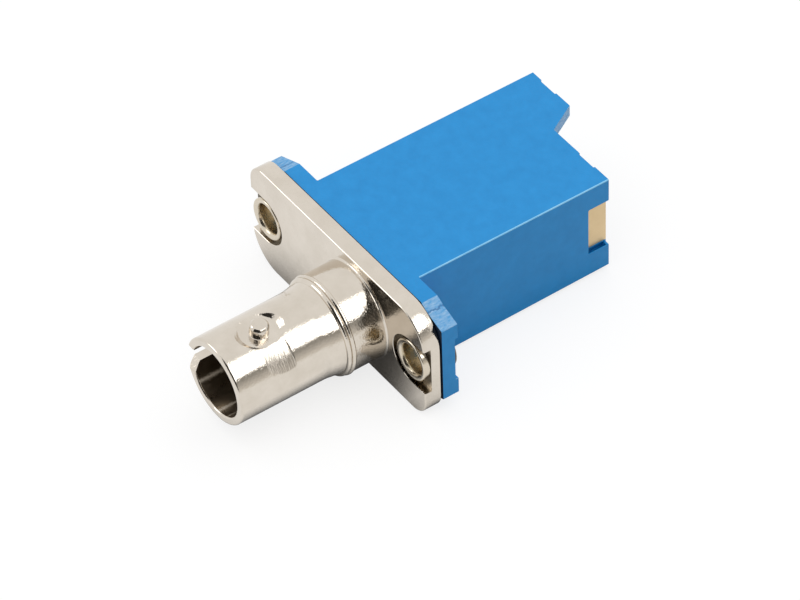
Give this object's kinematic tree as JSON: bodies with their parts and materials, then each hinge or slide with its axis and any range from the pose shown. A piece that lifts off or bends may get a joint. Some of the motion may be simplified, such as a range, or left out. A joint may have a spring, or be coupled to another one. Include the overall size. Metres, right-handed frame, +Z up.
{
  "type": "hybrid fibre adapter",
  "caption": "Flanged panel adapter that joins a bayonet fibre plug on its metal barrel to a rectangular push-in fibre plug in its blue moulded port.",
  "frame": {"origin": "midway between the two fixing holes, on the face that seats on the panel", "axes": "+X along the flange towards the side that the barrel is offset to, +Y along the light path towards the rectangular mouth, +Z up"},
  "size_m": [0.0218, 0.0347, 0.0092],
  "materials": {
    "blue_polymer": "satin moulded",
    "nickel_casting": "bright nickel plate on a die casting",
    "latch_metal": "stamped, satin",
    "eyelet_metal": "nickel plated, rolled edge",
    "black_polymer": "fine moulded",
    "zirconia": "polished white ceramic"
  },
  "bodies": {
    "root": {"housing": "blue_polymer", "bayonet_body": "nickel_casting", "latch_plate": "latch_metal", "eyelet_left": "eyelet_metal", "eyelet_right": "eyelet_metal", "sleeve_holder": "black_polymer", "split_sleeve": "zirconia", "sleeve_retainer": "black_polymer"}
  },
  "joints": []
}
